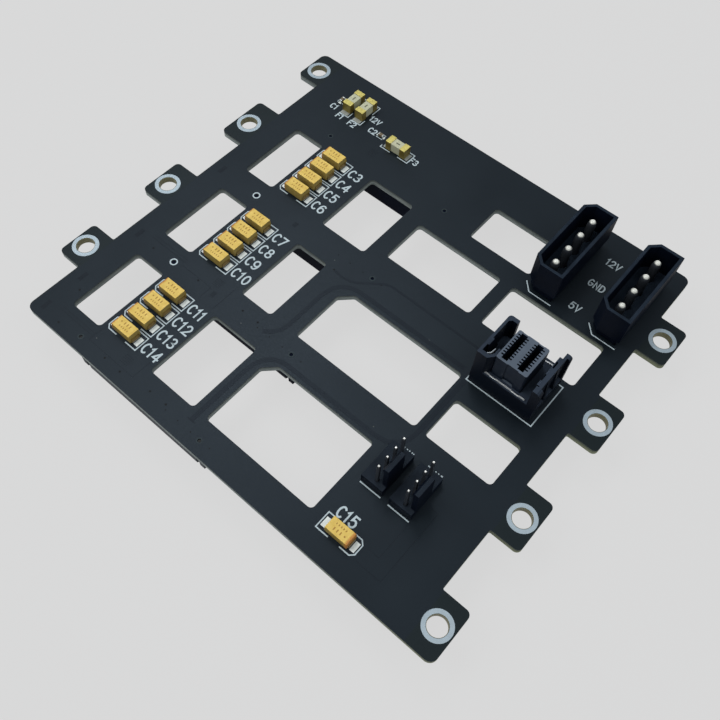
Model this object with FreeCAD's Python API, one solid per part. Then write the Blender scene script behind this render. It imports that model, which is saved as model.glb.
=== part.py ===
import FreeCAD, Part
import math
import os

# Drive backplane board, in millimetres.
# Plan positions are measured from the main field's top left corner: X to the
# right, Y up, so everything on the board has a negative Y. Z is 0 on the
# solder side and runs up out of the component side. At the end every piece
# is moved so that the left outer pair of fixing holes is centred on the origin.

# Board
board_width = 109.0
board_thickness = 1.6
top_margin = 22.4
drive_pitch = 27.38
bottom_margin = 2.85
drive_count = 4
corner_radius = 1.8
window_radius = 1.0
tab_reach = 6.95
tab_radius = 1.2
tab_root_radius = 0.4
fixing_hole_radius = 2.2
hole_inset_left = 3.55
hole_inset_right = 3.45

# Each tab: rise of its hole above the drive row, and its reach above and below the hole
left_tabs = [(16.3, 6.1, 4.6), (16.4, 7.55, 6.55), (15.3, 6.55, 5.15), (16.85, 5.45, 4.95)]
right_tabs = [(3.2, 5.3, 5.85), (3.45, 5.8, 6.1), (3.1, 6.3, 6.05), (3.3, 5.9, 6.15)]

# Bars between the windows, measured from the drive rows
bar_below_row = 3.95
bar_above_row = 4.35
wide_bar_below_row = 7.15
wide_bar_above_row = 7.2
left_bar = 7.15
capacitor_bar = 16.65
window_a_width = 9.2
window_b_width = 13.35
window_b_narrow = 9.4
window_c_chamfer = 2.9
window_c1_inset = 0.85
window_c2_lift = 0.85
right_bar = 5.25
window_d_width = 24.95
window_e_width = 17.05
window_e_drop = 11.87
window_c1_drop = 0.15
bar_b_c = 3.8
bar_c_d = 3.3
bar_c_e = 2.7
bar_c_fan = 3.1
window_f_width = 17.5
window_f_top = 12.9
window_f_drop = 2.0
header_bar = 0.65

# Moulded chip capacitors
case_length = 5.8
case_width = 3.2
case_height = 2.45
case_draft = 0.13
case_parting = 1.2
terminal_thickness = 0.15
terminal_width = 2.2
terminal_foot = 1.3
bank_count = 4
bank_pitch = 4.55
bank_drop = 6.25
capacitor_inset = 5.75
single_capacitor_inset = 21.35
single_capacitor_rise = 7.2

# Square fuses: distance right of the corner, distance below it, quarter turn
fuse_length = 6.1
fuse_side = 2.69
fuse_cap_length = 1.6
fuse_cap_wall = 0.14
fuse_places = [(12.5, 9.9, True), (16.7, 9.9, True), (31.65, 14.75, False)]

# Ceramic chips
chip_length = 1.6
chip_side = 0.8
chip_end = 0.32
chip_plating = 0.03
chip_places = [(8.95, 10.6, True), (25.1, 13.6, False)]

# Disk power headers
header_width = 8.1
header_length = 23.4
header_height = 10.3
header_wall = 0.8
header_chamfer = 2.2
header_skirt = 2.3
header_floor = 0.7
header_inset = 0.6
header_from_right = 7.4
header_spacing = 17.3
header_drop = 16.3
header_stagger = 0.2
power_pin_count = 4
power_pin_pitch = 5.08
power_pin_radius = 1.05
power_pin_top = 9.3
power_pin_nose = 1.3
power_pin_round = 0.52
power_pin_shoulder = 0.87
power_pin_tip = 0.45
power_pin_side_count = 16
power_tail_side = 1.0

# Four pin fan headers
fan_pitch = 2.54
fan_pin_count = 4
fan_width = 5.55
fan_height = 2.5
fan_wall = 1.15
fan_wall_top = 10.1
fan_wall_span = 5.1
fan_wall_lip = 0.3
fan_wall_root = 0.5
fan_lip_drop = 1.6
fan_lip_slope = 0.6
fan_wall_bevel = 0.2
fan_foot_left = 1.0
fan_foot_right = 1.2
fan_pin_side = 0.64
fan_pin_point = 0.3
fan_pin_taper = 0.45
fan_pin_top = 9.85
fan_pin_offset = 0.4
fan_inset = 23.1
fan_spacing = 7.35
fan_rise = 23.5
fan_stagger = 0.1

# High density data receptacle
socket_depth = 12.1
socket_floor = 6.1
socket_ledge = 4.3
socket_wall = 0.65
socket_inset = 15.6
socket_drop = 0.45
ear_top = 12.3
ear_inset = 0.1
ear_width = 2.5
ear_to_block = 1.17
block_to_wall = 2.95
ear_setback = 0.25
ear_end_wall = 1.0
ear_near_wall = 1.0
ear_radius = 0.8
ear_pocket_corner = 0.65
ear_web = 0.4
ear_web_place = 2.8
ear_web_top = 1.95
ear_web_foot = 5.0
guide_thickness = 0.55
guide_depth = 3.45
wall_top = 12.05
wall_setback = 0.1
rail_width = 0.68
rail_inset = 1.85
rail_pocket = 1.8
rail_pocket_depth = 4.0
rail_far_pocket = 7.1
rail_near_pocket = 3.2
rail_skin = 0.2
rail_slit = 0.35
rail_bite = 0.3
relief_width = 0.3
relief_inset = 0.3
gusset_reach = 1.45
gusset_thickness = 0.8
far_plate_thickness = 1.05
far_plate_radius = 0.8
post_depth = 1.6
post_overlap = 0.4
post_radius = 1.2
block_top = 12.55
block_width = 7.53
block_depth = 8.5
block_offset = -0.315
block_near_gap = 1.35
block_corner = 0.25
block_face_step = 0.14
card_slot_width = 1.4
card_slot_spacing = 3.94
card_slot_offset = -0.45
card_slot_floor = 5.6
card_slot_end = 0.55
card_slot_far_end = 0.3
card_slot_far_drop = 0.15
block_panel_inset = 0.5
block_notch_trim = 0.25
block_notch_depth = 0.5
block_notch_height = 1.3
contact_count = 9
contact_pitch = 0.75
contact_shift = 0.18
groove_width = 0.36
groove_depth = 0.6
blade_width = 0.25
blade_thickness = 0.2
blade_drop = 0.6
plate_thickness = 0.3
plate_length = 10.1
plate_overhang = 0.9
plate_lug = 0.2
near_lug_length = 1.3
middle_lug_start = 2.8
middle_lug_length = 4.0
far_lug_length = 1.4
plate_near_setback = 0.4
plate_far_setback = 0.65
latch_thickness = 0.2
latch_start = 0.85
latch_foot = 0.28
latch_bend = 0.25
latch_bend_run = 0.5
latch_tip = 0.05
latch_reach = 1.95
latch_drop = 0.1
socket_peg_radius = 0.6
socket_peg_inset = 1.3
foot_length = 2.2
foot_width = 1.2
foot_inset = 0.2

# Drive receptacles on the solder side
drive_socket_x = 34.1
drive_socket_width = 4.6
drive_socket_flange = 2.4
drive_socket_height = 8.0
slot_offset = 0.75
slot_end = 1.325
nose_end = 2.55
nose_width = 3.8
nose_chamfer = 0.5
blade_slot_width = 1.5
slot_key_width = 1.1
slot_key_reach = 0.7
peg_beyond_slot = 0.825
peg_radius = 0.45
flange_beyond_peg = 2.375
flange_wing = 3.2
flange_foot = 1.6
drive_contact_pitch = 1.27
drive_contact_width = 0.5
drive_contact_thickness = 0.18
drive_contact_foot = 0.45
drive_contact_setback = 0.9
signal_contact_count = 7
power_contact_count = 15
middle_contact_count = 7
middle_contact_pitch = 0.8
middle_contact_width = 0.4
middle_gap = 6.35
guide_notch = 0.9
guide_notch_place = 1.2

# Clearances and tails
hole_clearance = 0.1
press_clearance = 0.02
slide_clearance = 0.05
tail_length = 1.4
standoff = 0.3
peg_setback = 0.15

# How far a cutter runs past what it cuts
past = 1.0

# Worked out from the values above
contact_row_length = ((signal_contact_count + power_contact_count - 2) * drive_contact_pitch
                      + middle_gap)
blade_slot_length = contact_row_length + 2 * slot_end
peg_reach = slot_offset + blade_slot_length / 2 + peg_beyond_slot
top = board_thickness
board_height = top_margin + (drive_count - 1) * drive_pitch + bottom_margin


def row_y(index):
    """Centre line of a drive row."""
    return -top_margin - index * drive_pitch


def box(x0, x1, y0, y1, z0, z1):
    """A block between two corners."""
    corner = FreeCAD.Vector(x0, y0, z0)
    return Part.makeBox(x1 - x0, y1 - y0, z1 - z0, corner)


def cylinder(x, y, z0, z1, radius):
    """An upright round bar."""
    return Part.makeCylinder(radius, z1 - z0, FreeCAD.Vector(x, y, z0))


def flatted(x, y, profile, sides):
    """A turned shape cut in flats; its profile is (radius to the flats, height) from the foot up."""
    rings = []
    for radius, z in profile:
        corner = radius / math.cos(math.pi / sides)
        turns = [2 * math.pi * (i + 0.5) / sides for i in range(sides)]
        rings.append([FreeCAD.Vector(x + corner * math.cos(t), y + corner * math.sin(t), z)
                      for t in turns])
    outlines = [rings[0], rings[-1]]
    for lower, upper in zip(rings, rings[1:]):
        for i in range(sides):
            outlines.append([lower[i - 1], lower[i], upper[i], upper[i - 1]])
    faces = [Part.Face(Part.makePolygon(corners + corners[:1])) for corners in outlines]
    return Part.makeSolid(Part.makeShell(faces))


def flatted_bar(x, y, z0, z1, radius, sides=8):
    """An upright bar with equal flats."""
    return flatted(x, y, [(radius, z0), (radius, z1)], sides)


def prism(points, z0, z1):
    """An upright prism on a plan outline."""
    corners = [FreeCAD.Vector(x, y, z0) for x, y in points]
    face = Part.Face(Part.makePolygon(corners + corners[:1]))
    return face.extrude(FreeCAD.Vector(0, 0, z1 - z0))


def side_prism(points, y0, y1):
    """A prism along Y on an outline in X and Z."""
    corners = [FreeCAD.Vector(x, y0, z) for x, z in points]
    face = Part.Face(Part.makePolygon(corners + corners[:1]))
    return face.extrude(FreeCAD.Vector(0, y1 - y0, 0))


def rounded_prism(corners, z0, z1):
    """An upright prism whose plan corners are (x, y, radius)."""
    edges = []
    ends = []
    count = len(corners)
    for i in range(count):
        here = FreeCAD.Vector(corners[i][0], corners[i][1], z0)
        before = FreeCAD.Vector(corners[i - 1][0], corners[i - 1][1], z0)
        after = FreeCAD.Vector(corners[(i + 1) % count][0], corners[(i + 1) % count][1], z0)
        to_before = (before - here).normalize()
        to_after = (after - here).normalize()
        half = to_before.getAngle(to_after) / 2
        radius = corners[i][2]
        if radius == 0:
            ends.append((here, here))
            continue
        run = radius / math.tan(half)
        start = here + to_before * run
        finish = here + to_after * run
        bisector = (to_before + to_after).normalize()
        middle = here + bisector * (radius / math.sin(half) - radius)
        edges.append((i, Part.Arc(start, middle, finish).toShape()))
        ends.append((start, finish))
    arcs = dict(edges)
    outline = []
    for i in range(count):
        if i in arcs:
            outline.append(arcs[i])
        start, finish = ends[i][1], ends[(i + 1) % count][0]
        if start.distanceToPoint(finish) > 0.001:
            outline.append(Part.LineSegment(start, finish).toShape())
    face = Part.Face(Part.Wire(outline))
    return face.extrude(FreeCAD.Vector(0, 0, z1 - z0))


def cross_prism(points, x0, x1):
    """A prism along X on an outline in Y and Z."""
    corners = [FreeCAD.Vector(x0, y, z) for y, z in points]
    face = Part.Face(Part.makePolygon(corners + corners[:1]))
    return face.extrude(FreeCAD.Vector(x1 - x0, 0, 0))


def rounded_side_prism(corners, y0, y1):
    """A prism along Y whose corners are (x, z, radius)."""
    shape = rounded_prism(corners, 0, y1 - y0)
    shape.rotate(FreeCAD.Vector(0, 0, 0), FreeCAD.Vector(1, 0, 0), 90)
    shape.translate(FreeCAD.Vector(0, y1, 0))
    return shape


def moved(shape, x, y, z=0.0, quarter_turns=0):
    """A copy turned about Z and set down at a place."""
    copy = shape.copy()
    copy.rotate(FreeCAD.Vector(0, 0, 0), FreeCAD.Vector(0, 0, 1), 90 * quarter_turns)
    copy.translate(FreeCAD.Vector(x, y, z))
    return copy


def frustum(lower, upper, z0, z1):
    """An upright block about the Z axis between two rectangles, each (length, width)."""
    (x0, y0), (x1, y1) = lower, upper
    wedge = Part.makeWedge(-x0 / 2, 0, -y0 / 2, -y1 / 2, -x1 / 2, x0 / 2, z1 - z0, y0 / 2, y1 / 2,
                           x1 / 2)
    wedge.rotate(FreeCAD.Vector(0, 0, 0), FreeCAD.Vector(1, 0, 0), 90)
    wedge.translate(FreeCAD.Vector(0, 0, z0))
    return wedge


def joined(shapes):
    """One solid from pieces that share faces or volume."""
    whole = shapes[0]
    if len(shapes) > 1:
        whole = whole.fuse(shapes[1:])
    return whole.removeSplitter()


def centred(count, pitch):
    """Places of evenly spaced things about zero."""
    return [(i - (count - 1) / 2) * pitch for i in range(count)]


# Places shared by the board and what stands on it

left_hole_x = -hole_inset_left
right_hole_x = board_width + hole_inset_right
left_hole_y = [row_y(i) + tab[0] for i, tab in enumerate(left_tabs)]
right_hole_y = [row_y(i) + tab[0] for i, tab in enumerate(right_tabs)]

column_a = (left_bar, left_bar + window_a_width)
column_b_left = column_a[1] + capacitor_bar
column_d_right = board_width - right_bar
column_d_left = column_d_right - window_d_width
column_e_left = column_d_right - window_e_width
column_c_left = column_b_left + window_b_width + bar_b_c
capacitor_x = column_a[1] + capacitor_inset

header_x = [board_width - header_from_right - header_spacing, board_width - header_from_right]
header_y = [-header_drop, -header_drop - header_stagger]
fan_x = [board_width - fan_inset, board_width - fan_inset + fan_spacing]
fan_y = [-board_height + fan_rise, -board_height + fan_rise - fan_stagger]
socket_x = board_width - socket_inset
socket_y = row_y(1) - socket_drop

capacitor_places = []
for bank in range(drive_count - 1):
    for step in range(bank_count):
        place_y = row_y(bank) - bank_drop - step * bank_pitch
        capacitor_places.append((capacitor_x, place_y, 0))
capacitor_places.append(
    (board_width - single_capacitor_inset, -board_height + single_capacitor_rise, 2))


def windows():
    """The openings in the board: left, right, top, bottom, chamfer of the top left corner."""
    found = []
    for i in range(drive_count - 1):
        upper = row_y(i) - bar_below_row
        lower = row_y(i + 1) + bar_above_row
        narrow = i == 1
        b_width = window_b_narrow if narrow else window_b_width
        found.append((column_a[0], column_a[1], upper, lower, 0))
        found.append((column_b_left, column_b_left + b_width, upper, lower, 0))
    wide_top = row_y(0) - wide_bar_below_row
    wide_low = row_y(1) + wide_bar_above_row
    found.append((column_c_left + window_c1_inset, column_d_left - bar_c_d,
                  wide_top - window_c1_drop, wide_low, 0))
    found.append((column_c_left, column_e_left - bar_c_e,
                  row_y(1) - wide_bar_below_row + window_c2_lift, row_y(2) + bar_above_row,
                  window_c_chamfer))
    found.append((column_c_left, fan_x[0] - fan_width / 2 - bar_c_fan,
                  row_y(2) - bar_below_row, row_y(3) + bar_above_row, window_c_chamfer))
    found.append((column_d_left, column_d_right, wide_top, wide_low, 0))
    found.append((column_e_left, column_d_right, row_y(1) - window_e_drop,
                  row_y(2) + bar_above_row, 0))
    header_edge = header_x[0] - header_width / 2 - header_bar
    found.append((header_edge - window_f_width, header_edge, -window_f_top,
                  row_y(0) - window_f_drop, 0))
    return found


def window_prism(left, right, upper, lower, chamfer):
    """The cutter of one window, past both faces."""
    corners = [(left, lower, window_radius), (right, lower, window_radius),
               (right, upper, window_radius)]
    if chamfer:
        corners += [(left + chamfer, upper, window_radius), (left, upper - chamfer, window_radius)]
    else:
        corners.append((left, upper, window_radius))
    return rounded_prism(corners, -past, board_thickness + past)


def board_outline():
    """Plan corners of the board, clockwise from the top left."""
    bottom = -board_height
    corners = [(-tab_reach, 0, corner_radius), (board_width, 0, corner_radius)]
    for i, (rise, above, below) in enumerate(right_tabs):
        hole = row_y(i) + rise
        last = i == drive_count - 1
        corners.append((board_width, hole + above, tab_root_radius))
        corners.append((board_width + tab_reach, hole + above, tab_radius))
        if last:
            corners.append((board_width + tab_reach, bottom, corner_radius))
        else:
            corners.append((board_width + tab_reach, hole - below, tab_radius))
            corners.append((board_width, hole - below, tab_root_radius))
    corners.append((0, bottom, corner_radius))
    for i in reversed(range(drive_count)):
        rise, above, below = left_tabs[i]
        hole = row_y(i) + rise
        corners.append((0, hole - below, tab_root_radius))
        corners.append((-tab_reach, hole - below, tab_radius))
        if i:
            corners.append((-tab_reach, hole + above, tab_radius))
            corners.append((0, hole + above, tab_root_radius))
    return corners


def circuit_board():
    """The bare board with its windows, fixing holes, pin holes and peg holes."""
    below, above = -past, board_thickness + past
    blank = rounded_prism(board_outline(), 0, board_thickness)
    cuts = [window_prism(*window) for window in windows()]
    for y in left_hole_y:
        cuts.append(cylinder(left_hole_x, y, below, above, fixing_hole_radius))
    for y in right_hole_y:
        cuts.append(cylinder(right_hole_x, y, below, above, fixing_hole_radius))
    for x, y in zip(header_x, header_y):
        for step in centred(power_pin_count, power_pin_pitch):
            radius = power_tail_side / math.sqrt(2) + hole_clearance
            cuts.append(flatted_bar(x, y + step, below, above, radius))
    for x, y in zip(fan_x, fan_y):
        for step in centred(fan_pin_count, fan_pitch):
            radius = fan_pin_side / math.sqrt(2) + hole_clearance
            cuts.append(flatted_bar(x + fan_pin_offset, y + step, below, above, radius))
    for i in range(drive_count):
        for side in (-1, 1):
            x = drive_socket_x + side * peg_reach
            cuts.append(flatted_bar(x, row_y(i), below, above, peg_radius + hole_clearance))
    for x, y in socket_pegs():
        cuts.append(flatted_bar(x, y, below, above, socket_peg_radius + hole_clearance))
    return blank.cut(cuts)


# Moulded chip capacitors


def capacitor_case():
    """The moulded case, which tapers up and down from its parting line."""
    low = terminal_thickness
    waist = (case_length, case_width)
    drawn_in = (case_length - 2 * case_draft, case_width - 2 * case_draft)
    return joined([frustum(drawn_in, waist, low, low + case_parting),
                   frustum(waist, drawn_in, low + case_parting, low + case_height)])


def capacitor_terminals():
    """Two tinned straps, bent down the ends and under the case."""
    end = case_length / 2
    outer = end + terminal_thickness
    inner = outer - terminal_foot
    height = terminal_thickness + case_parting
    profile = [(inner, 0), (outer, 0), (outer, height), (end, height),
               (end, terminal_thickness), (inner, terminal_thickness)]
    strap = side_prism(profile, -terminal_width / 2, terminal_width / 2)
    return Part.makeCompound([strap, moved(strap, 0, 0, 0, 2)])


# Fuses and ceramic chips


def fuse_body():
    """The ceramic tube between the end caps."""
    side = fuse_side / 2 - fuse_cap_wall - press_clearance
    reach = fuse_length / 2 - fuse_cap_wall - press_clearance
    middle = fuse_side / 2
    return box(-reach, reach, -side, side, middle - side, middle + side)


def fuse_caps():
    """Two plated square cups over the ends of the ceramic."""
    half = fuse_side / 2
    outer = fuse_length / 2
    inner = outer - fuse_cap_length
    hollow = half - fuse_cap_wall
    cup = box(inner, outer, -half, half, 0, fuse_side)
    pocket = box(inner - past, outer - fuse_cap_wall, -hollow, hollow, half - hollow, half + hollow)
    cap = cup.cut(pocket)
    return Part.makeCompound([cap, moved(cap, 0, 0, 0, 2)])


def chip_body():
    """The brown ceramic of a small chip."""
    reach = chip_length / 2 - chip_end
    half = chip_side / 2
    return box(-reach, reach, -half, half, chip_plating, chip_side - chip_plating)


def chip_ends():
    """The two tinned ends of a small chip."""
    reach = chip_length / 2
    half = chip_side / 2
    end = box(reach - chip_end, reach, -half, half, 0, chip_side)
    return Part.makeCompound([end, moved(end, 0, 0, 0, 2)])


# Disk power headers


def keyed_outline(inset):
    """The header's plan, with its two keying corners on the left."""
    x = header_width / 2 - inset
    y = header_length / 2 - inset
    cut = header_chamfer - inset * (2 - math.sqrt(2))
    return [(-x + cut, -y), (x, -y), (x, y), (-x + cut, y), (-x, y - cut), (-x, -y + cut)]


def power_housing():
    """The open box of the header, on an inset foot."""
    floor = header_skirt + header_floor
    foot = prism(keyed_outline(header_inset), 0, header_skirt)
    shell = prism(keyed_outline(0), header_skirt, header_height)
    cavity = prism(keyed_outline(header_wall), floor, header_height + past)
    bores = []
    for y in centred(power_pin_count, power_pin_pitch):
        bores.append(flatted_bar(0, y, -past, header_height, power_pin_radius + press_clearance))
    tunnel = box(-header_width / 2 + header_inset + header_wall,
                 header_width / 2 - header_inset - header_wall,
                 -header_length, header_length, -past, standoff)
    return joined([foot, shell.cut(cavity)]).cut(bores + [tunnel])


def power_pin():
    """A round pin with a tapered nose and a square soldered tail."""
    profile = [(power_pin_radius, standoff), (power_pin_radius, power_pin_top - power_pin_nose),
               (power_pin_shoulder, power_pin_top - power_pin_round),
               (power_pin_tip, power_pin_top)]
    turned = flatted(0, 0, profile, power_pin_side_count)
    half = power_tail_side / 2
    tail = box(-half, half, -half, half, -board_thickness - tail_length, standoff)
    return joined([turned, tail])


def power_pins():
    """The four pins of one header."""
    pin = power_pin()
    return Part.makeCompound([moved(pin, 0, y) for y in centred(power_pin_count, power_pin_pitch)])


# Fan headers


def fan_base():
    """The base with its friction wall over three of the pins."""
    half_length = fan_pin_count * fan_pitch / 2
    right = fan_width / 2
    body = box(-right, right, -half_length, half_length, 0, fan_height)
    tunnel = box(-right + fan_foot_left, right - fan_foot_right, -half_length - past,
                 half_length + past, -past, standoff)
    middle = centred(fan_pin_count, fan_pitch)[1]
    low, high = middle - fan_wall_span / 2, middle + fan_wall_span / 2
    inside = right - fan_wall
    lip_base = fan_wall_top - fan_lip_drop
    wall = side_prism([(inside, fan_wall_root), (right, fan_wall_root), (right, fan_wall_top),
                       (inside + fan_wall_bevel, fan_wall_top),
                       (inside - fan_wall_lip, lip_base + fan_lip_slope),
                       (inside, lip_base)], low, high)
    bores = []
    for y in centred(fan_pin_count, fan_pitch):
        side = fan_pin_side / 2 + press_clearance
        bores.append(box(fan_pin_offset - side, fan_pin_offset + side, y - side, y + side,
                         -past, fan_height + past))
    return joined([body, wall]).cut(bores + [tunnel])


def fan_pin():
    """A square pin with a blunt pyramid at each end."""
    shaft = (fan_pin_side, fan_pin_side)
    point = (fan_pin_point, fan_pin_point)
    low = -board_thickness - tail_length
    return joined([frustum(point, shaft, low, low + fan_pin_taper),
                   frustum(shaft, shaft, low + fan_pin_taper, fan_pin_top - fan_pin_taper),
                   frustum(shaft, point, fan_pin_top - fan_pin_taper, fan_pin_top)])


def fan_pin_row():
    """The pins of one fan header."""
    pin = fan_pin()
    return Part.makeCompound([moved(pin, fan_pin_offset, y)
                              for y in centred(fan_pin_count, fan_pitch)])


# High density data receptacle

socket_near = -socket_depth / 2
socket_far = socket_depth / 2
block_left = block_offset - block_width / 2
block_right = block_offset + block_width / 2
ear_right = block_left - ear_to_block
ear_left = ear_right - ear_width
ear_far = socket_far - ear_setback
socket_left = ear_left - ear_inset
wall_x = block_right + block_to_wall
wall_outer = wall_x + socket_wall
socket_right = wall_x + gusset_reach
wall_far = socket_far - wall_setback
far_plate_near = wall_far - far_plate_thickness
near_post_far = socket_near + post_depth
block_near = socket_near + block_near_gap
block_far = block_near + block_depth
plate_left = block_left - plate_overhang


def socket_pegs():
    """Plan places of the receptacle's two locating pegs."""
    return [(socket_x + socket_left + socket_peg_inset, socket_y),
            (socket_x + socket_right - socket_peg_inset, socket_y)]


def socket_ear():
    """The left ear: a tall trough, open towards the contact block, with a web on its wall."""
    solid = rounded_prism([(ear_left, socket_near, 0), (ear_right, socket_near, 0),
                           (ear_right, ear_far, 0), (ear_left, ear_far, ear_radius)],
                          socket_floor, ear_top)
    inner_left = ear_left + socket_wall
    inner_near = socket_near + ear_near_wall
    inner_far = ear_far - ear_end_wall
    trough = prism([(inner_left, inner_near), (ear_right + past, inner_near),
                    (ear_right + past, inner_far), (inner_left + ear_pocket_corner, inner_far),
                    (inner_left, inner_far - ear_pocket_corner)], socket_floor, ear_top + past)
    web_near = socket_near + ear_web_place
    web = cross_prism([(web_near, socket_floor), (web_near, ear_top),
                       (web_near + ear_web_top, ear_top), (web_near + ear_web_foot, socket_floor)],
                      inner_left, inner_left + ear_web)
    return [solid.cut(trough), web]


def socket_guide():
    """The slanting guide between the ear's near corner and the contact block."""
    right = block_left - slide_clearance
    left = right - guide_thickness
    far = socket_near + guide_depth
    return prism([(ear_right, socket_near), (right, block_near), (right, far), (left, far),
                  (left, block_near + guide_thickness), (ear_right, socket_near + ear_near_wall)],
                 socket_floor, ear_top)


def socket_right_wall():
    """The right wall with its rail inside, and gussets, end plate and post outside."""
    wall = box(wall_x, wall_outer, socket_near, wall_far, socket_ledge, wall_top)
    rail = box(wall_x - rail_width, wall_x, socket_near + rail_inset, socket_far - rail_inset,
               socket_floor, wall_top)
    end_plate = rounded_side_prism([(wall_x, standoff, 0), (socket_right, standoff, 0),
                                    (socket_right, wall_top, far_plate_radius),
                                    (wall_x, wall_top, 0)], far_plate_near, wall_far)
    post_left = wall_x - post_overlap
    post = rounded_side_prism([(post_left, standoff, 0), (socket_right, standoff, 0),
                               (socket_right, wall_top, post_radius), (post_left, wall_top, 0)],
                              socket_near, near_post_far)
    pieces = [wall, rail, end_plate, post]
    pitch = (far_plate_near - near_post_far + gusset_thickness) / 3
    for i in (1, 2):
        y = near_post_far + i * pitch - gusset_thickness
        pieces.append(side_prism([(wall_outer, socket_ledge), (socket_right, socket_ledge),
                                  (wall_outer, wall_top)], y, y + gusset_thickness))
    return pieces


def rail_pockets():
    """A blind pocket in the rail, an open one nearer, and the relief at its far end."""
    deep = wall_top - rail_pocket_depth
    left = wall_x - rail_width
    slit = left + rail_skin
    far_y = socket_near + rail_far_pocket
    near_y = socket_near + rail_near_pocket
    relief = plate_left + plate_length
    return [box(slit, slit + rail_slit, far_y, far_y + rail_pocket, deep, wall_top + past),
            box(left - past, left + rail_bite, near_y, near_y + rail_pocket, deep,
                wall_top + past),
            box(relief, relief + relief_width, far_plate_near + relief_inset, socket_far + past,
                socket_ledge, socket_floor + past)]


def plate_body(front):
    """A retention plate's body: near the front edge or near the far one."""
    if front:
        y = socket_near + plate_near_setback
    else:
        y = socket_far - plate_far_setback - plate_thickness
    return box(plate_left, plate_left + plate_length, y, y + plate_thickness, 0, socket_floor)


def plate_slot(front):
    """The slot round a retention plate and its lugs."""
    plate = plate_body(front).BoundBox
    gap = slide_clearance
    return box(plate.XMin - gap, plate.XMax + gap, plate.YMin - gap, plate.YMax + gap,
               -past, socket_floor + plate_lug + gap)


def socket_housing():
    """The moulded receptacle body with its floor, ear, guide, wall, feet and pegs."""
    base = box(socket_left, socket_right, socket_near, socket_far, standoff, socket_floor)
    side_recess = box(wall_outer, socket_right + past, near_post_far, far_plate_near,
                      socket_ledge, socket_floor + past)
    pieces = [base.cut(side_recess)] + socket_ear() + [socket_guide()] + socket_right_wall()
    for x in (socket_left + foot_inset, -foot_length / 2, socket_right - foot_inset - foot_length):
        for y in (socket_near + foot_inset, socket_far - foot_inset - foot_width):
            pieces.append(box(x, x + foot_length, y, y + foot_width, 0, standoff))
    for x, y in socket_pegs():
        pieces.append(flatted_bar(x - socket_x, y - socket_y, -board_thickness + peg_setback,
                                  standoff, socket_peg_radius))
    gap = slide_clearance
    seat = box(block_left - gap, block_right + gap, block_near - gap, block_far + gap,
               -past, socket_floor + past)
    cuts = [seat, plate_slot(True), plate_slot(False)] + rail_pockets()
    return joined(pieces).cut(cuts)


def slot_centres():
    """Centre lines of the two card slots."""
    return [card_slot_offset - card_slot_spacing / 2, card_slot_offset + card_slot_spacing / 2]


def contact_rows():
    """The four contact rows: the slot wall's X and the way the wall faces."""
    rows = []
    for centre in slot_centres():
        rows.append((centre - card_slot_width / 2, 1))
        rows.append((centre + card_slot_width / 2, -1))
    return rows


def contact_places():
    """Centres of the contacts along a row."""
    middle = (block_near + block_far) / 2 + contact_shift
    return [middle + step for step in centred(contact_count, contact_pitch)]


def contact_block():
    """The insert with two card slots, a thin wall at their far ends and grooves beside each."""
    cut = block_corner
    body = prism([(block_left + cut, block_near), (block_right - cut, block_near),
                  (block_right, block_near + cut), (block_right, block_far - cut),
                  (block_right - cut, block_far), (block_left + cut, block_far),
                  (block_left, block_far - cut), (block_left, block_near + cut)],
                 standoff, block_top)
    first, second = slot_centres()
    half = card_slot_width / 2
    cuts = []
    for centre in (first, second):
        cuts.append(box(centre - half, centre + half, block_near + card_slot_end,
                        block_far - card_slot_far_end, card_slot_floor, block_top + past))
        cuts.append(box(centre - half, centre + half, block_far - card_slot_far_end,
                        block_far + past, block_top - card_slot_far_drop, block_top + past))
    for x, facing in contact_rows():
        back = x - facing * groove_depth
        for y in contact_places():
            cuts.append(box(min(back, x), max(back, x), y - groove_width / 2,
                            y + groove_width / 2, -past, block_top + past))
    face_left, face_right = first + half + block_panel_inset, second
    cuts.append(box(face_left, face_right, block_near - past, block_near + block_face_step,
                    socket_floor, block_top + past))
    cuts.append(box(face_left, face_right - block_notch_trim, block_near - past,
                    block_near + block_notch_depth, socket_floor,
                    socket_floor + block_notch_height))
    return body.cut(cuts)


def data_contacts():
    """Sprung blades standing in the grooves."""
    blades = []
    for x, facing in contact_rows():
        back = x - facing * (groove_depth - slide_clearance)
        front = back + facing * blade_thickness
        for y in contact_places():
            blades.append(box(min(back, front), max(back, front), y - blade_width / 2,
                              y + blade_width / 2, 0, block_top - blade_drop))
    return Part.makeCompound(blades)


def retention_plate(front):
    """A stamped plate on edge, with three lugs above the floor."""
    plate = plate_body(front)
    edge = plate.BoundBox
    pieces = [plate]
    for start, length in ((0, near_lug_length), (middle_lug_start, middle_lug_length),
                          (plate_length - far_lug_length, far_lug_length)):
        left = edge.XMin + start
        pieces.append(box(left, left + length, edge.YMin, edge.YMax, socket_floor - past,
                          socket_floor + plate_lug))
    return joined(pieces)


def latch_spring():
    """A bent strip standing in the ear, from its near wall towards the guide."""
    t = latch_thickness
    near = socket_near + ear_near_wall + slide_clearance
    start = ear_right - latch_start
    bend = ear_right - latch_bend
    bend_y = near + latch_bend_run
    tip = ear_right - latch_tip
    tip_y = near + latch_reach
    outline = [(start, near), (start + latch_foot, near), (bend + t, bend_y), (tip + t, tip_y),
               (tip, tip_y), (bend, bend_y + t / 2)]
    return prism(outline, socket_floor, ear_top - latch_drop)


# Drive receptacles


def drive_contact_places():
    """X places of the two long groups of contacts, and of the group between them."""
    pitch = drive_contact_pitch
    first = slot_offset - contact_row_length / 2
    signal = [first + i * pitch for i in range(signal_contact_count)]
    start = signal[-1] + middle_gap
    power = [start + i * pitch for i in range(power_contact_count)]
    centre = (signal[-1] + start) / 2
    middle = [centre + step for step in centred(middle_contact_count, middle_contact_pitch)]
    return signal + power, middle


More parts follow.
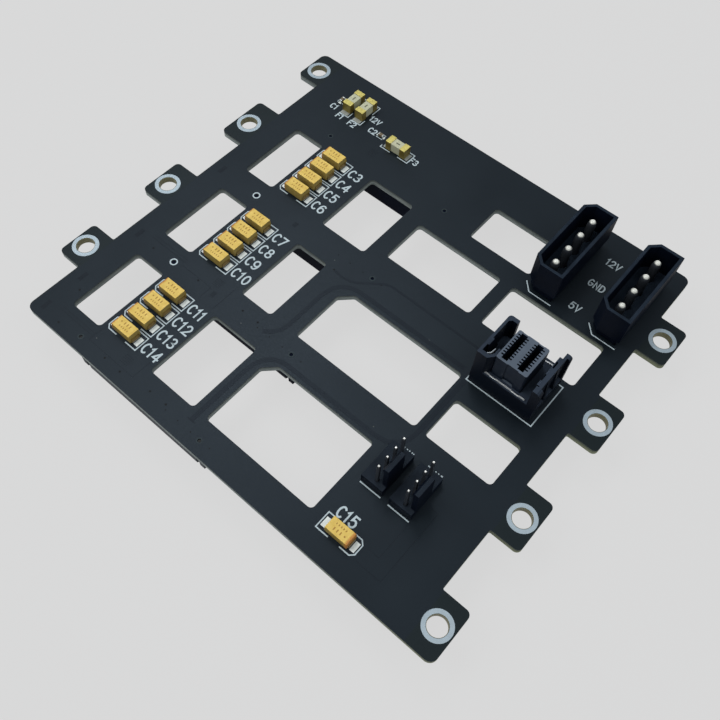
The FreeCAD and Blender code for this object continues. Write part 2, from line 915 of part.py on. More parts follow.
def drive_housing():
    """The receptacle below the board: flange with a wing, nose, blade slot with keys, pegs."""
    flange_right = peg_reach + flange_beyond_peg
    flange_left = -flange_right - flange_wing
    half_width = drive_socket_width / 2
    under = -drive_contact_thickness - press_clearance
    pieces = [box(flange_left, flange_right, -half_width, half_width, -drive_socket_flange, under)]
    slot_left = slot_offset - blade_slot_length / 2
    slot_right = slot_offset + blade_slot_length / 2
    nose = box(slot_left - nose_end, slot_right + nose_end, -nose_width / 2, nose_width / 2,
               -drive_socket_height, -drive_socket_flange / 2)
    mouth = [edge for edge in nose.Edges if edge.BoundBox.ZMax < -drive_socket_height + 0.01]
    pieces.append(nose.makeChamfer(nose_chamfer, mouth))
    for side in (-1, 1):
        pieces.append(flatted_bar(side * peg_reach, 0, -drive_socket_flange,
                                  board_thickness - peg_setback, peg_radius))
    for x in (flange_left, flange_right - flange_foot):
        pieces.append(box(x, x + flange_foot, -half_width, half_width, -drive_socket_flange, 0))
    slot_half = blade_slot_width / 2
    key = slot_half + slot_key_reach
    bottom = -drive_socket_height - past
    cuts = [box(slot_left, slot_right, -slot_half, slot_half, bottom, 0)]
    for x in (slot_left, slot_right - slot_key_width):
        cuts.append(box(x, x + slot_key_width, 0, key, bottom, -drive_socket_flange))
    for x in (slot_left - guide_notch_place, slot_right + guide_notch_place - guide_notch):
        for side in (-1, 1):
            edge = side * nose_width / 2
            inner = edge - side * guide_notch
            cuts.append(box(x, x + guide_notch, min(edge, inner), max(edge, inner), bottom,
                            -drive_socket_flange))
    return joined(pieces).cut(cuts)


def drive_contacts():
    """Flat springs against the slot's walls, each with a foot on the board."""
    long_row, middle_row = drive_contact_places()
    t = drive_contact_thickness
    wall = blade_slot_width / 2
    reach = drive_socket_width / 2 + drive_contact_foot
    depth = -drive_socket_height + drive_contact_setback
    blades = []
    for side, places, width in ((-1, long_row, drive_contact_width),
                                (1, middle_row, middle_contact_width)):
        profile = [(side * wall, -t), (side * reach, -t), (side * reach, 0),
                   (side * (wall - t), 0), (side * (wall - t), depth), (side * wall, depth)]
        for x in places:
            blades.append(cross_prism(profile, x - width / 2, x + width / 2))
    return Part.makeCompound(blades)


# Writing the pieces


def save(shape, node):
    """Move a piece into the part's frame and write it."""
    home = shape.copy()
    origin_y = (left_hole_y[0] + left_hole_y[-1]) / 2
    home.translate(FreeCAD.Vector(-left_hole_x, -origin_y, 0))
    home.exportStep("parts/" + node + ".step")


def main():
    os.makedirs("parts", exist_ok=True)
    save(circuit_board(), "circuit_board")

    case, terminals = capacitor_case(), capacitor_terminals()
    for i, (x, y, turns) in enumerate(capacitor_places):
        save(moved(case, x, y, top, turns), "capacitor_case_%d" % (i + 1))
        save(moved(terminals, x, y, top, turns), "capacitor_terminals_%d" % (i + 1))

    body, caps = fuse_body(), fuse_caps()
    for i, (x, drop, turned) in enumerate(fuse_places):
        save(moved(body, x, -drop, top, int(turned)), "fuse_body_%d" % (i + 1))
        save(moved(caps, x, -drop, top, int(turned)), "fuse_caps_%d" % (i + 1))

    chip, ends = chip_body(), chip_ends()
    for i, (x, drop, turned) in enumerate(chip_places):
        save(moved(chip, x, -drop, top, int(turned)), "chip_body_%d" % (i + 1))
        save(moved(ends, x, -drop, top, int(turned)), "chip_ends_%d" % (i + 1))

    housing, pins = power_housing(), power_pins()
    for i in range(2):
        save(moved(housing, header_x[i], header_y[i], top), "power_header_housing_%d" % (i + 1))
        save(moved(pins, header_x[i], header_y[i], top), "power_header_pins_%d" % (i + 1))

    base, row = fan_base(), fan_pin_row()
    for i in range(2):
        save(moved(base, fan_x[i], fan_y[i], top), "fan_header_base_%d" % (i + 1))
        save(moved(row, fan_x[i], fan_y[i], top), "fan_header_pins_%d" % (i + 1))

    save(moved(socket_housing(), socket_x, socket_y, top), "data_socket_housing")
    save(moved(contact_block(), socket_x, socket_y, top), "data_socket_contact_block")
    save(moved(data_contacts(), socket_x, socket_y, top), "data_socket_contacts")
    plates = Part.makeCompound([retention_plate(True), retention_plate(False)])
    save(moved(plates, socket_x, socket_y, top), "data_socket_plates")
    save(moved(latch_spring(), socket_x, socket_y, top), "data_socket_latch_spring")

    receptacle, springs = drive_housing(), drive_contacts()
    for i in range(drive_count):
        save(moved(receptacle, drive_socket_x, row_y(i)), "drive_socket_housing_%d" % (i + 1))
        save(moved(springs, drive_socket_x, row_y(i)), "drive_socket_contacts_%d" % (i + 1))


main()
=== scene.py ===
import math

import bpy
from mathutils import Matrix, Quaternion, Vector


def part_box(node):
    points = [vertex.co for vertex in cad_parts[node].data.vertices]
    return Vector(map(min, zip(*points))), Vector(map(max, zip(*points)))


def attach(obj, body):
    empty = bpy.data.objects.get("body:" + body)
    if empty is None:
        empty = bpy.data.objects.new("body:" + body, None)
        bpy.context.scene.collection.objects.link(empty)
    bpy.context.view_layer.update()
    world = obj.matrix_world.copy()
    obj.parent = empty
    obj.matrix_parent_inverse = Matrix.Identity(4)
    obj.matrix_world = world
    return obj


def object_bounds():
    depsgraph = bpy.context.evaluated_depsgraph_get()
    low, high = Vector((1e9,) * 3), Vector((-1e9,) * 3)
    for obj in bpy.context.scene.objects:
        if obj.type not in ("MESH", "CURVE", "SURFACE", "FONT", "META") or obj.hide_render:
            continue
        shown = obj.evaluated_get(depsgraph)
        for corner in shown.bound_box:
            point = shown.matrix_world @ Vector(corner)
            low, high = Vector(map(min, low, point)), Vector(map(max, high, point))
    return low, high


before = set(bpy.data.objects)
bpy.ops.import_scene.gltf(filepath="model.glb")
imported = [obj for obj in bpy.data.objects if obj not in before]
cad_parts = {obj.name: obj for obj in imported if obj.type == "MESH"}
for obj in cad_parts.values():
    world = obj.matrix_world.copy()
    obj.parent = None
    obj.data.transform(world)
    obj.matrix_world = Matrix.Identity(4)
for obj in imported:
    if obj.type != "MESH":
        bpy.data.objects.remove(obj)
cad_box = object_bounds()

MM = 0.001

# The board's main field and its two faces, in millimetres. Prints are placed from the field's
# upper left corner, with X to the right and Y up.
board_low, board_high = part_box("circuit_board")
tab_reach = 6.95
left_edge = board_low.x / MM + tab_reach
top_edge = board_high.y / MM
face = board_high.z / MM
back = board_low.z / MM

# Where the copper under the lacquer starts and ends; the lacquer beyond it looks greener
copper_left, copper_right = left_edge + 0.3, left_edge + 109.45
copper_middle, copper_half = (copper_left + copper_right) / 2, (copper_right - copper_left) / 2

# How far the prints reach into the board and out of it
sink = 0.01
ink_height = 0.025
pad_height = 0.04
mark_height = 0.015
trace_height = 0.018
band_height = 0.012
rim_height = 0.02
plating_height = 0.03

# Neighbouring shapes end at slightly different levels, so that none share a plane
level_step, level_count = 0.0012, 4

# Widths of the printed lines
line_width = 0.27
digit_width = 0.42
small_digit_width = 0.34


def node_box(name):
    """A node's low and high corners in millimetres."""
    low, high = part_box(name)
    return low / MM, high / MM


def on_board(x, y):
    """Millimetres from the field's upper left corner to millimetres in the frame."""
    return left_edge + x, top_edge + y


def local(name):
    """A node's plan box in millimetres from the field's upper left corner."""
    low, high = node_box(name)
    return low.x - left_edge, low.y - top_edge, high.x - left_edge, high.y - top_edge


# Building blocks of node trees

def linear(red, green, blue):
    """An sRGB colour in whole numbers as linear values."""
    values = []
    for value in (red, green, blue):
        share = value / 255
        values.append(share / 12.92 if share <= 0.04045 else ((share + 0.055) / 1.055) ** 2.4)
    return (*values, 1.0)


def shade(colour, factor):
    return (*(c * factor for c in colour[:3]), 1.0)


def blank_material(name):
    material = bpy.data.materials.new(name)
    material.use_nodes = True
    tree = material.node_tree
    tree.nodes.clear()
    output = tree.nodes.new("ShaderNodeOutputMaterial")
    shader = tree.nodes.new("ShaderNodeBsdfPrincipled")
    tree.links.new(shader.outputs["BSDF"], output.inputs["Surface"])
    return material, tree, shader


def coordinates(tree):
    return tree.nodes.new("ShaderNodeTexCoord").outputs["Object"]


def noise(tree, place, scale, detail=3.0, stretch=None):
    """Noise with its scale in features per metre."""
    if stretch:
        mapping = tree.nodes.new("ShaderNodeMapping")
        mapping.inputs["Scale"].default_value = stretch
        tree.links.new(place, mapping.inputs["Vector"])
        place = mapping.outputs["Vector"]
    node = tree.nodes.new("ShaderNodeTexNoise")
    node.inputs["Scale"].default_value = scale
    node.inputs["Detail"].default_value = detail
    tree.links.new(place, node.inputs["Vector"])
    return node.outputs["Fac"]


def spread(tree, value, low, high, start=0.3, stop=0.7):
    """A value output that runs from low to high while the given one runs from start to stop."""
    node = tree.nodes.new("ShaderNodeMapRange")
    node.inputs["From Min"].default_value = start
    node.inputs["From Max"].default_value = stop
    node.inputs["To Min"].default_value = low
    node.inputs["To Max"].default_value = high
    tree.links.new(value, node.inputs["Value"])
    return node.outputs["Result"]


def mix(tree, factor, first, second):
    """Two colours, or colour outputs, mixed by a factor output."""
    node = tree.nodes.new("ShaderNodeMix")
    node.data_type = "RGBA"
    tree.links.new(factor, node.inputs["Factor"])
    sockets = [s for s in node.inputs if s.type == "RGBA"]
    for colour, socket in ((first, sockets[0]), (second, sockets[1])):
        if isinstance(colour, tuple):
            socket.default_value = colour
        else:
            tree.links.new(colour, socket)
    return next(s for s in node.outputs if s.type == "RGBA")


def patchy(tree, pattern, first, second):
    """A colour that drifts between two along a noise pattern."""
    return mix(tree, spread(tree, pattern, 0, 1), first, second)


def blotchy(tree, pattern, colour, mottle):
    """A colour that gets a little darker and lighter along a noise pattern."""
    return patchy(tree, pattern, shade(colour, 1 - mottle), shade(colour, 1 + mottle))


def math_node(tree, operation, first, second=0.5):
    node = tree.nodes.new("ShaderNodeMath")
    node.operation = operation
    for value, socket in ((first, node.inputs[0]), (second, node.inputs[1])):
        if isinstance(value, (int, float)):
            socket.default_value = value
        else:
            tree.links.new(value, socket)
    return node.outputs["Value"]


def components(tree, vector):
    """The X, Y and Z outputs of a vector output."""
    node = tree.nodes.new("ShaderNodeSeparateXYZ")
    tree.links.new(vector, node.inputs["Vector"])
    return node.outputs


def facing_up(tree):
    """The Z of the surface's normal: 1 on a top face, 0 on a wall and -1 on an underside."""
    geometry = tree.nodes.new("ShaderNodeNewGeometry")
    return components(tree, geometry.outputs["Normal"])["Z"]


def add_bump(tree, shader, height, strength, distance):
    bump = tree.nodes.new("ShaderNodeBump")
    bump.inputs["Strength"].default_value = strength
    bump.inputs["Distance"].default_value = distance
    tree.links.new(height, bump.inputs["Height"])
    tree.links.new(bump.outputs["Normal"], shader.inputs["Normal"])


# Materials

cool_gloss = (0.72, 0.85, 1.0, 1.0)
fine_detail = 2.0
grain_depth = 0.02 * MM
gloss_swing = 0.06
colour_change = 0.1 * MM


def finish(name, colour, rough, metallic=0.0, mottle=0.15, blotch=300, grain=9000,
           bump=0.15, specular=0.5, tint=None, top=None, raised=None):
    """A material with soft blotches, a fine grain and uneven gloss.

    Blotches and grain are in features per metre. Faces that look up take the colour top, painted
    light where it is lighter than colour and painted shade where it is darker, and raised is a
    height in metres with the colour of everything above it, painted on as a highlight on pin tips
    and as a reflection on the upper part of capacitor straps.
    """
    material, tree, shader = blank_material(name)
    place = coordinates(tree)
    blotches = noise(tree, place, blotch)
    fine = noise(tree, place, grain, fine_detail)
    tone = blotchy(tree, blotches, colour, mottle)
    # Upward faces take a second colour: painted light where it is lighter, painted shade where it
    # is darker
    if top:
        painted_top_share = spread(tree, facing_up(tree), 0, 1, 0.55, 0.95)
        tone = mix(tree, painted_top_share, tone, blotchy(tree, blotches, top, mottle))
    # Everything above the level takes a second colour: a painted highlight on pin tips, a painted
    # reflection on capacitor straps
    if raised:
        level, painted_upper_colour = raised
        above = spread(tree, components(tree, place)["Z"], 0, 1,
                       level - colour_change, level + colour_change)
        tone = mix(tree, above, tone, blotchy(tree, blotches, painted_upper_colour, mottle))
    tree.links.new(tone, shader.inputs["Base Color"])
    gloss = spread(tree, fine, rough - gloss_swing, rough + gloss_swing)
    tree.links.new(gloss, shader.inputs["Roughness"])
    shader.inputs["Metallic"].default_value = metallic
    shader.inputs["Specular IOR Level"].default_value = specular
    if tint:
        shader.inputs["Specular Tint"].default_value = tint
    add_bump(tree, shader, fine, bump, grain_depth)
    return material


def lacquered_laminate():
    """Dark lacquer on both faces and bare glass laminate on every cut edge."""
    material, tree, shader = blank_material("lacquered_laminate")
    place = coordinates(tree)
    along = components(tree, place)
    edge = math_node(tree, "LESS_THAN", math_node(tree, "ABSOLUTE", facing_up(tree)), 0.5)

    clouds = noise(tree, place, 45)
    lacquer = patchy(tree, clouds, linear(14, 21, 26), linear(21, 28, 33))
    bare = patchy(tree, clouds, linear(14, 22, 21), linear(21, 28, 28))
    from_middle = math_node(tree, "SUBTRACT", along["X"], copper_middle * MM)
    from_middle = math_node(tree, "ABSOLUTE", from_middle)
    lacquer = mix(tree, math_node(tree, "GREATER_THAN", from_middle, copper_half * MM),
                  lacquer, bare)

    # The laminate is greyer on the left and more olive on the right, and darker at its top
    layers = noise(tree, place, 260, fine_detail, (0.6, 0.6, 22.0))
    glass = patchy(tree, layers, linear(104, 112, 110), linear(164, 170, 166))
    olive = patchy(tree, layers, linear(98, 102, 74), linear(146, 148, 114))
    glass = mix(tree, spread(tree, along["X"], 0, 1, 0.08, 0.125), glass, olive)
    toward_top = spread(tree, along["Z"], 0, 1, 0.4 * face * MM, face * MM)
    glass = mix(tree, toward_top, glass, linear(62, 68, 64))
    tree.links.new(mix(tree, edge, lacquer, glass), shader.inputs["Base Color"])

    peel = noise(tree, place, 2600, fine_detail)
    rough = tree.nodes.new("ShaderNodeMix")
    rough.data_type = "FLOAT"
    lacquer_rough, laminate_rough = rough.inputs[2], rough.inputs[3]
    tree.links.new(edge, rough.inputs[0])
    tree.links.new(spread(tree, peel, 0.37, 0.47), lacquer_rough)
    laminate_rough.default_value = 0.75
    tree.links.new(rough.outputs[0], shader.inputs["Roughness"])
    shader.inputs["Specular IOR Level"].default_value = 0.27
    shader.inputs["Specular Tint"].default_value = cool_gloss
    add_bump(tree, shader, peel, 0.12, 0.03 * MM)
    return material


def banded_resin(name, band_edge, toward):
    """Yellow resin with a burnt orange band past band_edge, in metres along X; its upper faces
    are painted lighter and its sides darker, as painted light and shade.

    Toward is 1 for a band that lies toward +X and -1 for one toward -X.
    """
    material, tree, shader = blank_material(name)
    place = coordinates(tree)
    blotches = noise(tree, place, 700)
    fine = noise(tree, place, 12000, fine_detail)

    wobble = math_node(tree, "SUBTRACT", blotches, 0.5)
    wobble = math_node(tree, "MULTIPLY", wobble, 0.6 * MM)
    along = math_node(tree, "ADD", components(tree, place)["X"], wobble)
    past = math_node(tree, "SUBTRACT", along, band_edge)
    past = math_node(tree, "MULTIPLY", past, toward)
    band = spread(tree, past, 0, 1, -0.1 * MM, 0.3 * MM)

    # Painted light and shade: upper faces painted lighter, sides painted darker
    painted_top_share = spread(tree, facing_up(tree), 0, 1, 0.3, 0.9)
    lit_tops = patchy(tree, blotches, linear(214, 180, 84), linear(230, 198, 105))
    walls = patchy(tree, blotches, linear(150, 126, 60), linear(166, 142, 74))
    plain = mix(tree, painted_top_share, walls, lit_tops)
    tree.links.new(mix(tree, band, plain, linear(190, 128, 56)), shader.inputs["Base Color"])
    tree.links.new(spread(tree, fine, 0.5, 0.64), shader.inputs["Roughness"])
    shader.inputs["Specular IOR Level"].default_value = 0.4
    add_bump(tree, shader, fine, 0.25, grain_depth)
    return material


def pin_with_painted_tip(name, node, tip, tip_highlight_colour):
    """A shaft painted dull as painted shade, with a tip painted bright as a painted highlight,
    tip millimetres long.
    """
    low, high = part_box(node)
    return finish(name, linear(62, 66, 72), 0.36, metallic=0.35, mottle=0.12, blotch=900,
                  bump=0.03, raised=(high.z - tip * MM, tip_highlight_colour))


ink = finish("legend_ink", linear(184, 198, 203), 0.6, mottle=0.06, blotch=900, bump=0.2)
resin_mark = finish("resin_mark", linear(168, 126, 52), 0.7, mottle=0.1)
fuse_mark = finish("fuse_mark", linear(92, 92, 74), 0.7, mottle=0.1)
band_lacquer = finish("band_lacquer", linear(14, 20, 27), 0.46, mottle=0.1, specular=0.27,
                      tint=cool_gloss)
trace_lacquer = finish("trace_lacquer", linear(9, 14, 20), 0.46, mottle=0.15, specular=0.265,
                       tint=cool_gloss)
hole_rim = finish("hole_rim", linear(36, 45, 46), 0.5, mottle=0.1, specular=0.3, tint=cool_gloss)
via_dark = finish("filled_via", linear(5, 8, 12), 0.6, mottle=0.1, specular=0.2)
bore_plate = finish("bore_plate", linear(112, 108, 76), 0.5, metallic=0.2, mottle=0.15,
                    blotch=900)
tin = finish("tin_plate", linear(205, 208, 205), 0.34, metallic=0.9, mottle=0.08, blotch=1500)
# Above this height over the board's face the straps are painted brown as a painted reflection of
# the resin
strap_reflection_height = 0.25
strap_tin = finish("strap_tin", linear(190, 194, 190), 0.4, metallic=0.5, mottle=0.08,
                   blotch=1500, raised=((face + strap_reflection_height) * MM, linear(128, 102, 46)))
solder = finish("solder", linear(232, 238, 234), 0.5, mottle=0.08, blotch=1200)
speck_tin = finish("speck_tin", linear(98, 102, 98), 0.5, mottle=0.1, blotch=1500)
dull_tin = finish("dull_tin", linear(160, 164, 158), 0.5, metallic=0.2, mottle=0.1, blotch=1500)
ring_plate = finish("ring_plate", linear(172, 186, 194), 0.42, metallic=0.6, mottle=0.06,
                    blotch=500)
# The fuse caps' upper faces are painted lighter than their sides as painted light
gilt = finish("gilt_plate", linear(140, 122, 58), 0.4, metallic=0.5, mottle=0.1, blotch=900,
              top=linear(212, 198, 112))
contact_gilt = finish("gilt_spring", linear(190, 165, 95), 0.3, metallic=1.0, mottle=0.1,
                      blotch=900)
shaded_gilt = finish("shaded_gilt", linear(38, 32, 20), 0.4, metallic=0.6, mottle=0.3,
                     blotch=2500)
fuse_ceramic = finish("fuse_ceramic", linear(188, 188, 158), 0.55, mottle=0.06, blotch=1500)
chip_ceramic = finish("chip_ceramic", linear(112, 98, 74), 0.5, mottle=0.1, blotch=1500)
steel = finish("stamped_steel", linear(222, 224, 224), 0.35, metallic=0.6, mottle=0.08,
               blotch=800, bump=0.05)
latch_steel = finish("latch_steel", linear(160, 166, 170), 0.4, metallic=0.6, mottle=0.08,
                     blotch=800, bump=0.05)
# Pin shafts painted dark as painted shade, their tips painted bright as a painted highlight
power_pin = pin_with_painted_tip("power_pin_tin", "power_header_pins_1", 0.34, linear(238, 238, 228))
fan_pin = pin_with_painted_tip("fan_pin_tin", "fan_header_pins_1", 0.12, linear(252, 252, 246))
# The headers' and the data socket's upper faces are painted lighter than their sides as painted
# light
header_nylon = finish("header_nylon", linear(10, 16, 28), 0.5, mottle=0.2, blotch=250,
                      specular=0.04, tint=cool_gloss, top=linear(34, 42, 52))
fan_nylon = finish("fan_nylon", linear(10, 16, 28), 0.5, mottle=0.25, blotch=250,
                   specular=0.1, tint=cool_gloss, top=linear(30, 36, 44))
drive_nylon = finish("drive_nylon", linear(11, 17, 32), 0.6, mottle=0.25, blotch=250,
                     bump=0.05, specular=0.03)
# The outer receptacle: its sides painted lighter as a painted reflection of the light floor, its
# upward faces painted near black as painted shade, meant for its peg holes
outer_nylon_painted_light = finish("outer_drive_nylon", linear(34, 42, 50), 0.65, mottle=0.2, blotch=250,
                     bump=0.05, top=linear(4, 6, 10))
socket_plastic = finish("socket_plastic", linear(9, 15, 26), 0.5, mottle=0.15, blotch=250,
                        specular=0.12, tint=cool_gloss, top=linear(47, 55, 67))
block_plastic = finish("block_plastic", linear(23, 31, 44), 0.5, mottle=0.12, blotch=300,
                       specular=0.25, tint=cool_gloss, top=linear(84, 93, 105))

# The band at one end of each capacitor; the last capacitor lies the other way round
last_capacitor = 13
bank_band, last_band = 0.5 * MM, 0.7 * MM
resin = banded_resin("capacitor_resin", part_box("capacitor_case_1")[0].x + bank_band, -1)
last_resin = banded_resin("capacitor_resin_turned",
                          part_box(f"capacitor_case_{last_capacitor}")[1].x - last_band, 1)

# Each kind of node: its material, and the width of its rounded edges in millimetres
looks = {
    "circuit_board": (lacquered_laminate(), 0),
    "capacitor_case": (resin, 0.1),
    "capacitor_terminals": (strap_tin, 0.03),
    "fuse_body": (fuse_ceramic, 0.05),
    "fuse_caps": (gilt, 0.07),
    "chip_body": (chip_ceramic, 0.03),
    "chip_ends": (tin, 0.04),
    "power_header_housing": (header_nylon, 0.12),
    "power_header_pins": (power_pin, 0.03),
    "fan_header_base": (fan_nylon, 0.08),
    "fan_header_pins": (fan_pin, 0.03),
    "data_socket_housing": (socket_plastic, 0.06),
    "data_socket_contact_block": (block_plastic, 0),
    "data_socket_contacts": (shaded_gilt, 0),
    "data_socket_plates": (steel, 0.02),
    "data_socket_latch_spring": (latch_steel, 0.02),
    "drive_socket_housing": (drive_nylon, 0.1),
    "drive_socket_contacts": (contact_gilt, 0),
}
# Nodes with a look of their own: the capacitor that lies the other way round, and the receptacle
# at the board's edge, with a painted reflection of the light floor on its sides and painted shade
# on its upward faces
own_looks = {
    f"capacitor_case_{last_capacitor}": last_resin,
    "drive_socket_housing_4": outer_nylon_painted_light,
}


def soften(node, width):
    """Small rounded edges that catch the light, width in millimetres."""
    weld = node.modifiers.new("weld", "WELD")
    weld.merge_threshold = 0.001 * MM
    bevel = node.modifiers.new("edges", "BEVEL")
    bevel.width = width * MM
    bevel.segments = 2
    bevel.limit_method = "ANGLE"
    bevel.angle_limit = math.radians(35)
    bevel.use_clamp_overlap = True
    smooth = node.modifiers.new("normals", "WEIGHTED_NORMAL")
    smooth.keep_sharp = False


for name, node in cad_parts.items():
    kind = name.rstrip("0123456789").rstrip("_")
    material, edge_width = looks[kind]
    material = own_looks.get(name, material)
    if not node.material_slots:
        node.data.materials.append(material)
    for slot in node.material_slots:
        slot.material = material
    if edge_width:
        soften(node, edge_width)


# Thin flat shapes

def arc(x, y, across, up, start, stop, steps=10):
    """Points on an ellipse between two angles in degrees."""
    points = []
    for i in range(steps + 1):
        turn = math.radians(start + (stop - start) * i / steps)
        points.append((x + across * math.cos(turn), y + up * math.sin(turn)))
    return points


def oval(x, y, across, up, steps=16):
    """Points on a whole ellipse."""
    return arc(x, y, across, up, 0, 360, steps)[:-1]


def beside(path, shift, closed=False):
    """The path moved sideways, to the left where shift is positive, with mitred corners."""
    shortest_share = 0.45
    path = [Vector(p) for p in path]
    count = len(path)
    moved = []
    for i, here in enumerate(path):
        into = here - path[i - 1] if (closed or i) else path[1] - here
        out = path[(i + 1) % count] - here if (closed or i < count - 1) else into
        into, out = into.normalized(), out.normalized()
        across = Vector((-into.y - out.y, into.x + out.x)).normalized()
        share = max(across.dot(Vector((-into.y, into.x))), shortest_share)
        moved.append(here + across * (shift / share))
    return moved


def make_piece(name, points, faces, material, smooth=False):
    """A piece of the board from points in millimetres of the frame."""
    mesh = bpy.data.meshes.new(name)
    mesh.from_pydata([Vector(p) * MM for p in points], [], faces)
    mesh.validate()
    mesh.materials.append(material)
    if smooth:
        mesh.shade_smooth()
    piece = bpy.data.objects.new(name, mesh)
    bpy.context.scene.collection.objects.link(piece)
    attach(piece, "root")
    return piece


class Flat:
    """Thin closed shapes gathered into one mesh, in millimetres from the field's corner."""

    def __init__(self, low, high):
        self.low = low
        self.high = high
        self.points = []
        self.faces = []
        self.shapes = 0

    def top(self):
        """The next shape's top level, a hair off its neighbours'."""
        self.shapes += 1
        return self.high - level_step * (self.shapes % level_count)

    def slab(self, outline):
        """A thin block on one closed outline, counter-clockwise."""
        count = len(outline)
        lower = len(self.points)
        upper = lower + count
        for z in (self.low, self.top()):
            for x, y in outline:
                self.points.append((*on_board(x, y), z))
        self.faces.append([upper + i for i in range(count)])
        self.faces.append([lower + i for i in reversed(range(count))])
        for i in range(count):
            j = (i + 1) % count
            self.faces.append([lower + i, lower + j, upper + j, upper + i])

    def ribbon(self, path, width, closed=False, cap=0.4):
        """A line of even width with mitred corners; an open one ends cap widths past its path."""
        path = [Vector(p) for p in path]
        if not closed:
            first = (path[0] - path[1]).normalized() * width * cap
            last = (path[-1] - path[-2]).normalized() * width * cap
            path[0] = path[0] + first
            path[-1] = path[-1] + last
        count = len(path)
        left = beside(path, width / 2, closed)
        right = beside(path, -width / 2, closed)
        start = len(self.points)
        top = self.top()
        for side, z in ((left, self.low), (right, self.low), (left, top), (right, top)):
            for p in side:
                self.points.append((*on_board(p.x, p.y), z))
        a, b, c, d = (start + count * i for i in range(4))
        for i in range(count if closed else count - 1):
            j = (i + 1) % count
            self.faces.append([c + i, d + i, d + j, c + j])
            self.faces.append([a + i, a + j, b + j, b + i])
            self.faces.append([a + i, c + i, c + j, a + j])
            self.faces.append([b + i, b + j, d + j, d + i])
        if not closed:
            end = count - 1
            self.faces.append([a, b, d, c])
            self.faces.append([a + end, c + end, d + end, b + end])

    def disc(self, x, y, radius, sides=14):
        self.slab(oval(x, y, radius, radius, sides))

    def box(self, x0, y0, x1, y1):
        self.slab([(x0, y0), (x1, y0), (x1, y1), (x0, y1)])

    def ring(self, x, y, inner, outer, sides=48):
        """A flat washer."""
        middle = (inner + outer) / 2
        self.ribbon(oval(x, y, middle, middle, sides), outer - inner, closed=True)

    def piece(self, name, material, slot):
        return make_piece(name, self.points, self.faces, material)


def on_face(height):
    """Thin shapes on the board's upper face."""
    return Flat(face - sink, face + height)


# Strokes of each character in a box 0.62 wide and 1 high: the open ones, then the closed ones
strokes = {
    "0": ([], [oval(0.31, 0.5, 0.3, 0.5)]),
    "1": ([[(0.0, 0.8), (0.2, 1.0), (0.2, 0.0)]], []),
    "2": ([arc(0.31, 0.7, 0.28, 0.3, 165, -38) + [(0.02, 0.0), (0.62, 0.0)]], []),
    "3": ([arc(0.29, 0.75, 0.26, 0.25, 150, -90)
           + arc(0.29, 0.26, 0.31, 0.26, 90, -150)[1:]], []),
    "4": ([[(0.46, 0.0), (0.46, 1.0)], [(0.46, 1.0), (0.0, 0.3), (0.64, 0.3)]], []),
    "5": ([[(0.56, 1.0), (0.12, 1.0), (0.07, 0.56)]
           + arc(0.29, 0.33, 0.31, 0.33, 125, -150)[1:]], []),
    "6": ([arc(0.34, 0.5, 0.33, 0.48, 52, 180) + [(0.01, 0.31)]],
          [oval(0.31, 0.31, 0.3, 0.31)]),
    "7": ([[(0.0, 1.0), (0.6, 1.0), (0.2, 0.0)]], []),
    "8": ([], [oval(0.31, 0.76, 0.25, 0.24), oval(0.31, 0.27, 0.3, 0.27)]),
    "9": ([arc(0.28, 0.5, 0.33, 0.48, -128, 0) + [(0.61, 0.69)]],
          [oval(0.31, 0.69, 0.3, 0.31)]),
    "C": ([arc(0.33, 0.5, 0.31, 0.5, 48, 312, 14)], []),
    "D": ([], [[(0.02, 0.0), (0.26, 0.0), (0.46, 0.08), (0.58, 0.28), (0.6, 0.5),
                (0.58, 0.72), (0.46, 0.92), (0.26, 1.0), (0.02, 1.0)]]),
    "F": ([[(0.06, 0.0), (0.06, 1.0), (0.6, 1.0)], [(0.06, 0.54), (0.5, 0.54)]], []),
    "G": ([arc(0.33, 0.5, 0.31, 0.5, 48, 340, 14) + [(0.62, 0.46), (0.36, 0.46)]], []),
    "N": ([[(0.04, 0.0), (0.04, 1.0), (0.58, 0.0), (0.58, 1.0)]], []),
    "V": ([[(0.0, 1.0), (0.32, 0.0), (0.64, 1.0)]], []),
}
character_step = 0.8
one_step = 0.54
character_width = 0.9


def write(flat, text, x, y, height, width):
    """Figures and letters from their lower left corner, reading along +X."""
    shift = 0
    for character in text:
        open_strokes, closed_strokes = strokes[character]
        for group, closed in ((open_strokes, False), (closed_strokes, True)):
            for stroke in group:
                path = [(x + (px * character_width + shift) * height, y + py * height)
                        for px, py in stroke]
                flat.ribbon(path, width, closed)
        shift += one_step if character == "1" else character_step


legend = on_face(ink_height)
pads = on_face(pad_height)
fuse_pads = on_face(pad_height)

# Capacitor outlines, pads and numbers
outline_reach = 4.7
outline_half = 1.97
outline_corner = 0.8
gap_near, gap_far = 1.5, 1.6
pad_near, pad_far, pad_half = 3.2, 4.3, 1.1
first_number = 3
label_height = 2.5
label_shift = 5.45
last_label_height = 2.4
last_label_left, last_label_rise = 3.5, 2.35


def capacitors():
    """Each capacitor's index, centre and way, which is 1 where its banded end is on the left."""
    for index in range(1, last_capacitor + 1):
        x0, y0, x1, y1 = local(f"capacitor_case_{index}")
        yield index, (x0 + x1) / 2, (y0 + y1) / 2, -1 if index == last_capacitor else 1


def capacitor_print(x, y, way):
    """The outline round a capacitor and its two pads."""
    for side in (1, -1):
        legend.ribbon([(x - way * gap_near, y + side * outline_half),
                       (x - way * (outline_reach - outline_corner), y + side * outline_half),
                       (x - way * outline_reach, y + side * (outline_half - outline_corner)),
                       (x - way * outline_reach, y)], line_width)
        legend.ribbon([(x + way * gap_far, y + side * outline_half),
                       (x + way * outline_reach, y + side * outline_half),
                       (x + way * outline_reach, y)], line_width)
        near, far = sorted((x + side * pad_near, x + side * pad_far))
        pads.box(near, y - pad_half, far, y + pad_half)


for index, x, y, way in capacitors():
    capacitor_print(x, y, way)
    label = f"C{first_number + index - 1}"
    if index == last_capacitor:
        write(legend, label, x - last_label_left, y + last_label_rise, last_label_height,
              digit_width)
    else:
        write(legend, label, x + label_shift, y - label_height / 2, label_height, digit_width)

